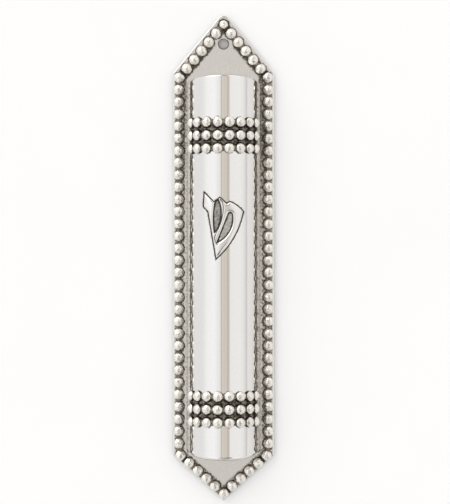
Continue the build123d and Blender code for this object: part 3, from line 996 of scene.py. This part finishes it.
def strip_piece(band, material):
    """The thin sheet behind a band's bead rows, wrapped over the shell and darkest round each bead."""
    low, high = limits(f"{band}_band_strip")
    foot = FRONT - high.y
    outside = SHELL_RADIUS + STRIP_THICKNESS
    beads = [(outside * angle, level) for angle in band_angles() for level in band_levels(band)]
    surface = Surface()
    grids = []
    for radius in (outside, SHELL_RADIUS):
        reach = math.acos(foot / radius)
        grid = []
        for row in range(STRIP_ROWS + 1):
            z = mix(low.z, high.z, row / STRIP_ROWS)
            made = []
            for number in range(STRIP_ARC_POINTS + 1):
                angle = mix(-reach, reach, number / STRIP_ARC_POINTS)
                x, depth = radius * math.sin(angle), radius * math.cos(angle)
                away = min(math.dist((outside * angle, z), bead) for bead in beads)
                contact = smooth_step(BAND_BEAD[0] + STRIP_CONTACT, BAND_BEAD[0], away)
                tarnish_and_shade = mix(STRIP_TARNISH, 1.0, contact)
                made.append(surface.point(x, FRONT - depth, z, tarnish_and_shade, 1.0))
            grid.append(made)
        surface.loft(grid)
        grids.append(grid)
    outer, inner = grids
    for edge in (0, -1):
        surface.join(outer[edge], inner[edge])
        surface.join([row[edge] for row in outer], [row[edge] for row in inner])
    surface.piece(f"{band}_strip", material, f"{band}_band_strip")


# ---- raised letter ----


def arc(start, through, end, count=24):
    """Points on the circle through three points, without the last one."""
    first, middle, last = (complex(*point) for point in (start, through, end))
    ratio = (last - first) / (middle - first)
    centre = first + (middle - first) * (ratio - abs(ratio) ** 2) / (2j * ratio.imag)
    begin, halfway, finish = (cmath.phase(point - centre) for point in (first, middle, last))
    sweep = (finish - begin) % (2 * math.pi)
    if (halfway - begin) % (2 * math.pi) > sweep:
        sweep -= 2 * math.pi
    turns = [cmath.exp(1j * sweep * number / count) for number in range(count)]
    spots = [centre + (first - centre) * turn for turn in turns]
    return [(spot.real, spot.imag) for spot in spots]


# the letter shin about its centre: three arms that meet in a pointed foot, with counters between them
LETTER = [
    (-2.6, -11.4), (-5.3, 4.4), (-6.8, 6.0), (-6.5, 11.3), (-3.1, 7.9), (-1.2, 9.4), (1.1, 7.3),
    *arc((2.0, 8.0), (4.5, 6.7), (6.7, 4.6)),
    *arc((6.7, 4.6), (3.7, -3.8), (-2.6, -11.4)),
]
COUNTERS = [
    [*arc((-2.9, -2.4), (-0.8, 3.0), (-1.7, 8.3)), (-1.7, 8.3),
     *arc((-2.7, 7.6), (-3.25, 2.6), (-2.9, -2.4))],
    [*arc((-2.1, -5.6), (0.2, 0.2), (1.7, 4.0)), *arc((1.7, 4.0), (2.4, 4.1), (2.9, 3.4)),
     *arc((2.9, 3.4), (1.7, -2.3), (-2.1, -5.6))],
]
# fine grooves: one beside the middle arm and one along the foot
CREASES = [
    [(-1.1, 8.4), (-0.3, 7.5), (-0.05, 5.8), (-0.2, 3.7), (-0.75, 1.3), (-1.65, -1.0), (-2.65, -3.1),
     (-2.9, -4.3), (-2.65, -5.5), (-1.9, -6.3)],
    [(0.8, -6.0), (-1.9, -9.7)],
]
# how high the letter stands, how tarnished and how satin it is, by distance from its edge
LETTER_PROFILE = [
    (0.0, 0.0, 1.0, 0.5),
    (0.3, 0.42, 1.0, 0.3),
    (0.42, 0.56, 0.3, 0.0),
    (0.54, 0.7, 0.0, 0.0),
    (0.76, 0.82, 0.0, 0.2),
    (1.1, 0.86, 0.0, 1.0),
    (2.0, 0.9, 0.0, 1.0),
]


def letter_piece(material):
    """The letter as a casting bent to the shell, with rounded shoulders and two sunk counters."""
    outer = divided(np.array(LETTER), LETTER_STEP)
    counters = [divided(np.array(counter), LETTER_STEP) for counter in COUNTERS]
    steps, *profile = (np.array(column) for column in zip(*LETTER_PROFILE))
    surface = Surface()

    def spot(x, z, height, tarnish_and_shade, satin):
        radius = SHELL_RADIUS + height
        depth = math.sqrt(radius * radius - x * x)
        return surface.point(x, FRONT - depth, EMBLEM_CENTRE + z, tarnish_and_shade, satin)

    filling = filled(outer, counters, LETTER_STEP)
    points = filling[0]
    from_outer = distance_to(points, outer)
    from_counters = np.min([distance_to(points, counter) for counter in counters], axis=0)
    from_creases = np.min([distance_to(points, np.array(line), closed=False) for line in CREASES], axis=0)
    wear = []
    for by_outer, by_counter, by_crease in zip(from_outer, from_counters, from_creases):
        from_edge = min(by_outer, by_counter + COUNTER_EDGE)
        height, tarnish_and_shade, satin = (np.interp(from_edge, steps, values) for values in profile)
        if by_counter < by_outer:
            height = max(height, EMBLEM_FLOOR)
        groove = smooth_step(CREASE_HALF_WIDTH, 0.0, by_crease)
        tarnish_and_shade = max(tarnish_and_shade, CREASE_TARNISH * groove)
        wear.append((height - CREASE_DEPTH * groove, tarnish_and_shade, satin * (1 - groove)))
    rims = surface.cover(filling, spot, wear)

    bed = [spot(x, z, -LETTER_BEDDING, 1.0, 1.0) for x, z in outer]
    surface.join(rims[0], bed, closed=True)
    filling = filled(outer, [], LETTER_REAR_STEP)
    surface.cover(filling, spot, [(-LETTER_BEDDING, 1.0, 1.0)] * len(filling[0]), bed)

    for counter, rim, stain in zip(counters, rims[1:], COUNTER_TARNISH):
        filling = filled(counter, [], 2 * LETTER_STEP)
        shades = [smooth_step(*COUNTER_CONTACT, away) for away in distance_to(filling[0], counter)]
        surface.cover(filling, spot, [(EMBLEM_FLOOR, max(stain, shade), 1.0) for shade in shades], rim)
    surface.piece("raised_shin", material, "shin_emblem", sharp_degrees=60)


# ---- all pieces ----


dice = random.Random(18)

plate_silver = silver(
    "plate_silver", (0.93, 0.92, 0.90), 0.12, (0.99, 0.99, 0.98), 0.28, soot=0.19, grain=0.26,
)
shell_silver = silver(
    "shell_silver", (0.957, 0.944, 0.927), 0.05, (0.93, 0.88, 0.81), 0.42,
    dents=0.004, dent_size=6.0, soot=0.16,
)
bead_silver = silver(
    "bead_silver", (0.97, 0.94, 0.88), 0.09, (0.5, 0.45, 0.4), 0.4,
    dents=0.25, dent_size=0.6, soot=0.14, grain=0.2,
)
strip_silver = silver(
    "strip_silver", (0.60, 0.55, 0.49), 0.35, (0.40, 0.36, 0.31), 0.45,
    dents=0.08, dent_size=0.6, soot=0.08,
)
letter_silver = silver(
    "letter_silver", (0.95, 0.94, 0.92), 0.10, (0.985, 0.97, 0.945), 0.32,
    dents=0.03, dent_size=2.0, grain=0.1,
)

plate_piece(plate_silver)
shell_piece(shell_silver)
border_pieces(bead_silver, dice)
for band in ("upper", "lower"):
    strip_piece(band, strip_silver)
    band_row_pieces(band, bead_silver, dice)
letter_piece(letter_silver)

# parts that keep their CAD shape get a fitting material and, where they show, a soft edge
plain_silver = brushed_silver("rear_silver", (0.86, 0.84, 0.80), 0.3)
for node in ("left_guide_rail", "right_guide_rail", "cover_stop", "rear_cover"):
    dress(node, plain_silver, DRESSED_EDGE)
for node in ("top_end_cap", "bottom_end_cap"):
    dress(node, plain_silver)
dress("parchment_scroll", parchment("parchment"))
dress("scroll_sleeve", clear_plastic("clear_sleeve"))


# ---- studio ----


def backdrop():
    """The pale, glowing surface behind the case, with painted shadow near it; clear from behind and to rays
    from the rear of the case.
    """
    size = BACKDROP_HALF_SIZE * MM
    y = (REAR + BACKDROP_GAP) * MM
    mesh = bpy.data.meshes.new("backdrop")
    corners = [(-size, y, -size), (size, y, -size), (size, y, size), (-size, y, size)]
    mesh.from_pydata(corners, [], [(0, 1, 2, 3)])
    material, tree, shader = new_material("backdrop_paper", Roughness=0.9)
    path = add(tree, "ShaderNodeLightPath").outputs
    open_sky = add(tree, "ShaderNodeAmbientOcclusion", {"Distance": BACKDROP_SHADOW * MM}).outputs["AO"]
    seen = path["Is Camera Ray"]
    glow = map_range(tree, seen, 0.0, 1.0, BACKDROP_REFLECTED_GLOW, BACKDROP_GLOW, kind="LINEAR")
    feed(shader, "Emission Strength", glow)
    # painted shadow: the glow turns to the shade colour where ambient occlusion finds the case close
    feed(shader, "Emission Color", ramp(tree, open_sky, [(0.4, BACKDROP_SHADE), (0.68, WHITE)]))
    paper = ramp(tree, noise_at(tree, 0.02), [(0.3, (0.90, 0.90, 0.91)), (0.7, (0.915, 0.915, 0.925))])
    feed(shader, "Base Color", paper)
    clear = add(tree, "ShaderNodeBsdfTransparent").outputs["BSDF"]
    behind = add(tree, "ShaderNodeNewGeometry").outputs["Backfacing"]
    reach = BACKDROP_REACH * MM
    near = map_range(tree, path["Ray Length"], reach, 0.5 * reach, kind="LINEAR")
    bounces = maths(tree, "SUBTRACT", path["Ray Depth"], path["Transmission Depth"])
    from_rear = maths(tree, "MULTIPLY", near, maths(tree, "LESS_THAN", bounces, 1.5))
    shares = {0: maths(tree, "MAXIMUM", behind, from_rear), 1: shader.outputs["BSDF"], 2: clear}
    both = add(tree, "ShaderNodeMixShader", shares).outputs["Shader"]
    tree.links.new(both, tree.nodes["Material Output"].inputs["Surface"])
    mesh.materials.append(material)
    made = in_scene("backdrop", mesh)
    made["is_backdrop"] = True


def near_direction(tree, way, direction, spread, most=1.0):
    """0 further from a direction than the first of two angles and most nearer to it than the second."""
    inputs = {0: way, 1: direction}
    closeness = add(tree, "ShaderNodeVectorMath", inputs, operation="DOT_PRODUCT").outputs["Value"]
    far, near = (math.cos(math.radians(angle)) for angle in spread)
    return map_range(tree, closeness, far, near, 0.0, most)


def tent_slit(tree, turn, height):
    """1 in the dim slit of the tent, which is broken at the camera's own level, and 0 elsewhere."""
    before = map_range(tree, maths(tree, "ABSOLUTE", turn), *(math.radians(angle) for angle in SLIT_TURN))
    off_level = map_range(tree, maths(tree, "ABSOLUTE", height), *SLIT_LEVEL_GAP)
    below_top = map_range(tree, height, *SLIT_TOP)
    above_floor = map_range(tree, height, *SLIT_BOTTOM)
    within = maths(tree, "MINIMUM", below_top, above_floor)
    return maths(tree, "MULTIPLY", maths(tree, "MULTIPLY", before, off_level), within)


def sky():
    """A light tent round the case: pale walls, with a dim slit in front where its opening is."""
    world = bpy.data.worlds.new("light_tent")
    bpy.context.scene.world = world
    world.use_nodes = True
    tree = world.node_tree
    way = add(tree, "ShaderNodeTexCoord").outputs["Generated"]
    parts = add(tree, "ShaderNodeSeparateXYZ", {"Vector": way}).outputs
    forwards = maths(tree, "MULTIPLY", parts["Y"], -1.0)
    turn = maths(tree, "ARCTAN2", parts["X"], forwards)
    share = map_range(tree, turn, -math.pi, math.pi, kind="LINEAR")
    stops = [(0.5 + degrees / 360, grey(*tone)) for degrees, *tone in TENT_WALLS]
    walls = mixed_colour(tree, ramp(tree, share, stops), SLIT_COLOUR, tent_slit(tree, turn, parts["Z"]))
    height = map_range(tree, parts["Z"], -1.0, 1.0, kind="LINEAR")
    levels = ramp(tree, height, [(place, grey(value)) for place, value in TENT_LEVELS])
    tent = mixed_colour(tree, walls, levels, 1.0, "MULTIPLY")
    lamp = near_direction(tree, way, LAMP_DIRECTION, LAMP_SPREAD, LAMP_GLOW)
    tent = mixed_colour(tree, tent, lamp, 1.0, "ADD")
    tripod = near_direction(tree, way, TRIPOD_DIRECTION, TRIPOD_SPREAD)
    room = mixed_colour(tree, tent, TRIPOD_COLOUR, tripod)
    seen = add(tree, "ShaderNodeLightPath").outputs["Is Camera Ray"]
    background = tree.nodes["Background"].inputs
    tree.links.new(mixed_colour(tree, room, ROOM_COLOUR, seen), background["Color"])
    background["Strength"].default_value = 1.0


def camera():
    """A camera straight in front of the case."""
    data = bpy.data.cameras.new("camera")
    data.sensor_width = SENSOR
    data.lens = SENSOR * CAMERA_DISTANCE / VIEW_HEIGHT
    data.clip_start = 0.01
    data.clip_end = 10.0
    made = in_scene("camera", data)
    x, z = CAMERA_AIM
    made.location = Vector((x, FRONT - CAMERA_DISTANCE, z)) * MM
    made.rotation_euler = (math.pi / 2, 0, 0)
    bpy.context.scene.camera = made


backdrop()
sky()
camera()
bpy.context.scene.view_settings.view_transform = "Standard"

boxes = {"cad": cad_box, "visual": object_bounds()}
{name: [list(corner) for corner in box] for name, box in boxes.items()}
